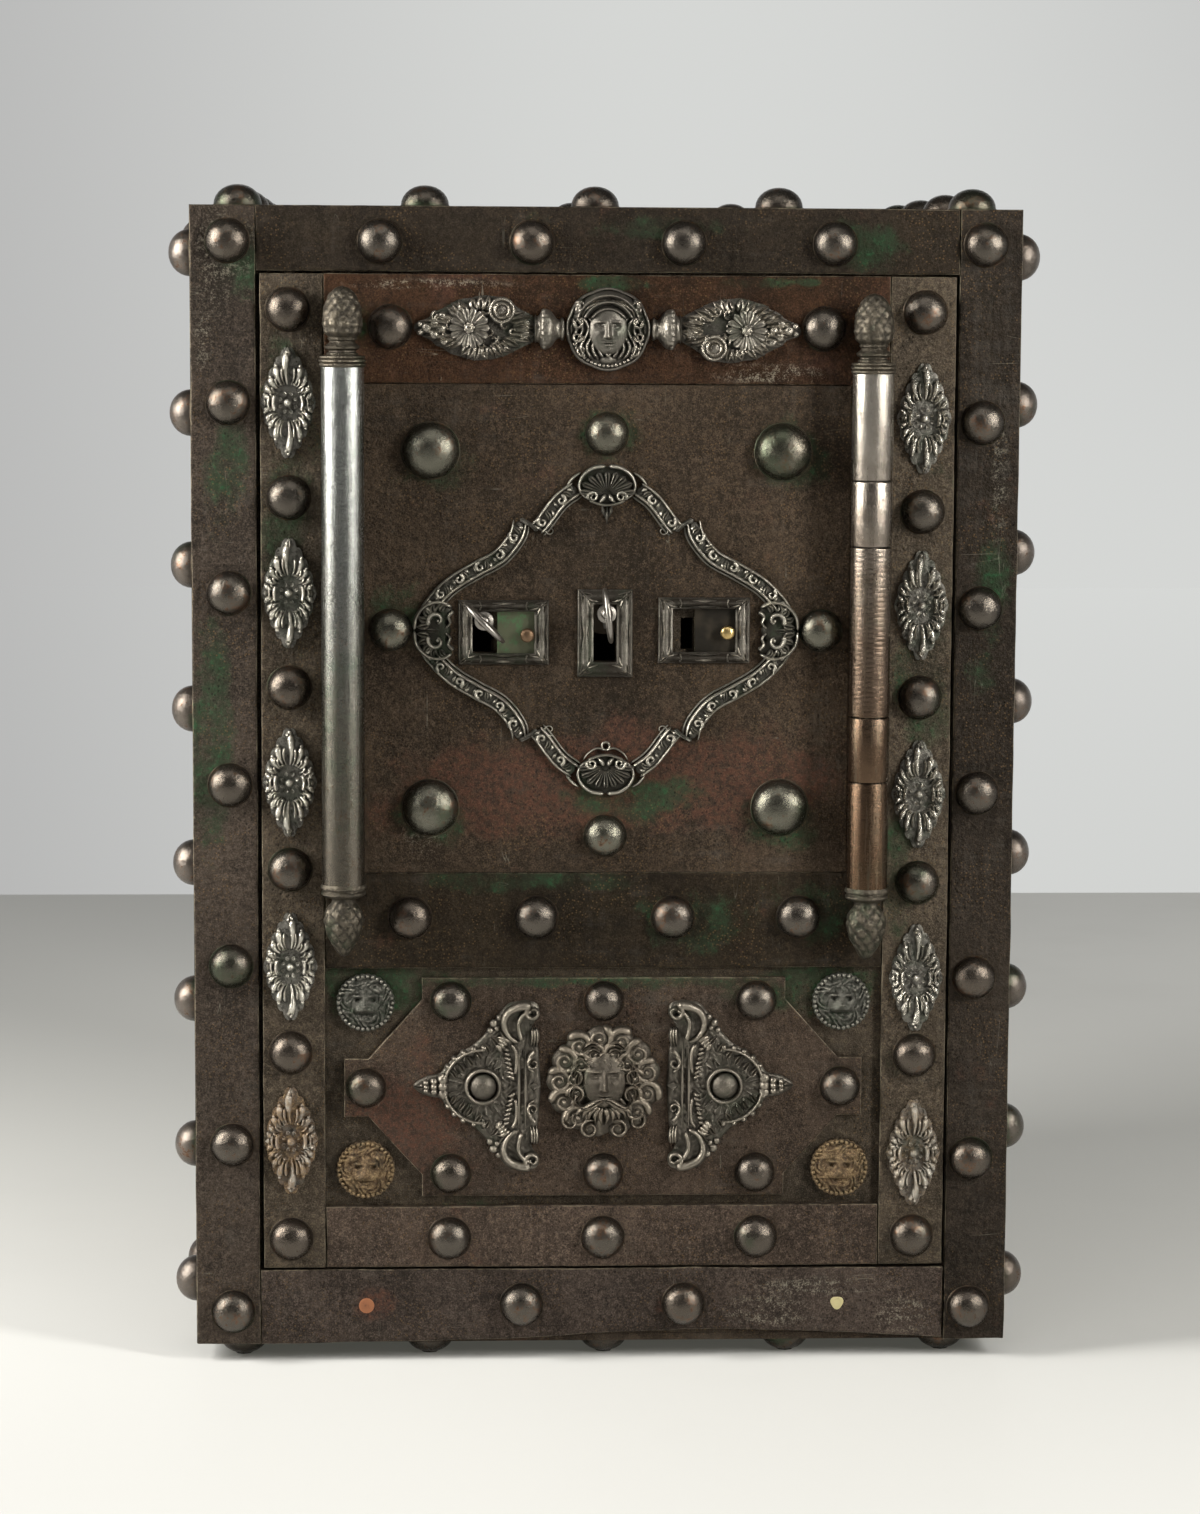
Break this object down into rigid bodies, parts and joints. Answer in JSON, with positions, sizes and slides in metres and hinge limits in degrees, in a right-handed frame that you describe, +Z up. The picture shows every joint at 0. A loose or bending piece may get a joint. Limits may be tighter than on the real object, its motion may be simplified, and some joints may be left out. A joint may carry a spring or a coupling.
{
  "type": "iron strongbox",
  "caption": "Riveted iron strongbox with stud feet, one pivoted door, keyhole covers, keys, bolt work, columns, cast ornaments and an inner drawer.",
  "frame": {"origin": "centre of the bounding box at floor level, under the tips of the stud feet", "axes": "+Z up, the door faces -Y, +X to the right seen from the front; front face of the straps at y = -0.1995 m"},
  "size_m": [0.58, 0.509, 0.791],
  "materials": {
    "dark_iron": "dark brown patinated wrought iron with green and rust patches",
    "cast_iron": "cast iron, polished on the high spots and dark in the hollows",
    "bright_steel": "worn bright steel with brown toning",
    "brass_patina": "brass plate with green patina and a worn brass knob",
    "inside_paint": "old dull brown paint"
  },
  "bodies": {
    "case": {"case_shell": "dark_iron", "front_left_strap": "dark_iron", "front_right_strap": "dark_iron", "front_top_strap": "dark_iron", "front_bottom_strap": "dark_iron", "top_straps": "dark_iron", "base_straps": "dark_iron", "left_side_straps": "dark_iron", "right_side_straps": "dark_iron", "back_straps": "dark_iron", "jamb_frame": "dark_iron", "inner_lining": "inside_paint", "shelf": "inside_paint", "drawer_housing": "inside_paint"},
    "drawer": {"drawer": "inside_paint"},
    "door": {"door_plate": "dark_iron", "bolt_case": "dark_iron", "door_back_cover": "dark_iron", "door_left_strap": "dark_iron", "door_right_strap": "dark_iron", "door_top_strap": "dark_iron", "door_lower_strap": "dark_iron", "door_bottom_strap": "dark_iron", "door_centre_plate": "dark_iron", "notched_plate": "dark_iron", "left_rosette_1": "cast_iron", "left_rosette_2": "cast_iron", "left_rosette_3": "cast_iron", "left_rosette_4": "cast_iron", "left_rosette_5": "cast_iron", "right_rosette_1": "cast_iron", "right_rosette_2": "cast_iron", "right_rosette_3": "cast_iron", "right_rosette_4": "cast_iron", "right_rosette_5": "cast_iron", "lion_medallion_upper_left": "cast_iron", "lion_medallion_upper_right": "cast_iron", "lion_medallion_lower_left": "cast_iron", "lion_medallion_lower_right": "cast_iron", "crest": "cast_iron", "mask": "cast_iron", "left_bracket": "cast_iron", "right_bracket": "cast_iron", "cartouche": "cast_iron", "left_lock_frame": "cast_iron", "centre_lock_frame": "cast_iron", "right_lock_frame": "cast_iron", "left_column": "bright_steel", "right_column": "bright_steel"},
    "side_bolts": {"side_bolts": "bright_steel"},
    "centre_lock_barrel": {"centre_lock_barrel": "bright_steel"},
    "centre_key": {"centre_key": "bright_steel"},
    "top_bolt": {"top_bolt": "bright_steel"},
    "left_key": {"left_key": "bright_steel"},
    "bottom_bolt": {"bottom_bolt": "bright_steel"},
    "left_keyhole_cover": {"left_keyhole_cover": "brass_patina"},
    "right_keyhole_cover": {"right_keyhole_cover": "brass_patina"},
    "upper_ring": {"upper_ring": "bright_steel"},
    "grip_sleeve": {"grip_sleeve": "bright_steel"},
    "lower_ring": {"lower_ring": "bright_steel"}
  },
  "joints": [
    {"name": "door_hinge", "type": "hinge", "parent": "case", "child": "door", "pos_m": [-0.2095, -0.191, 0.4], "axis": [0, 0, -1], "range_deg": [0, 90]},
    {"name": "drawer_slide", "type": "slide", "parent": "case", "child": "drawer", "axis": [0, -1, 0], "range_m": [0, 0.095]},
    {"name": "side_bolts_slide", "type": "slide", "parent": "door", "child": "side_bolts", "axis": [1, 0, 0], "range_m": [0, 0.018]},
    {"name": "centre_barrel_turn", "type": "hinge", "parent": "door", "child": "centre_lock_barrel", "pos_m": [-0.0008, -0.1795, 0.51081], "axis": [0, 1, 0], "range_deg": [0, 90]},
    {"name": "centre_key_withdraw", "type": "slide", "parent": "centre_lock_barrel", "child": "centre_key", "axis": [0, 1, 0], "range_m": [-0.045, 0]},
    {"name": "top_bolt_slide", "type": "slide", "parent": "door", "child": "top_bolt", "axis": [0, 0, 1], "range_m": [0, 0.018]},
    {"name": "left_key_turn", "type": "hinge", "parent": "door", "child": "left_key", "pos_m": [-0.08168, -0.1795, 0.50597], "axis": [0, -1, 0], "range_deg": [0, 90]},
    {"name": "bottom_bolt_slide", "type": "slide", "parent": "door", "child": "bottom_bolt", "axis": [0, 0, -1], "range_m": [0, 0.018]},
    {"name": "left_cover_slide", "type": "slide", "parent": "door", "child": "left_keyhole_cover", "axis": [-1, 0, 0], "range_m": [0, 0.005]},
    {"name": "right_cover_slide", "type": "slide", "parent": "door", "child": "right_keyhole_cover", "axis": [-1, 0, 0], "range_m": [0, 0.0165]},
    {"name": "upper_ring_turn", "type": "hinge", "parent": "door", "child": "upper_ring", "pos_m": [0.1745, -0.21595, 0.577], "axis": [0, 0, 1], "continuous": true},
    {"name": "grip_sleeve_turn", "type": "hinge", "parent": "door", "child": "grip_sleeve", "pos_m": [0.1745, -0.21595, 0.4985], "axis": [0, 0, 1], "continuous": true},
    {"name": "lower_ring_turn", "type": "hinge", "parent": "door", "child": "lower_ring", "pos_m": [0.1745, -0.21595, 0.42], "axis": [0, 0, 1], "continuous": true}
  ],
  "couplings": [
    {"joint": "centre_barrel_turn", "follows": "side_bolts_slide", "rad_per_m": 85.44},
    {"joint": "left_key_turn", "follows": "top_bolt_slide", "rad_per_m": 85.44}
  ]
}
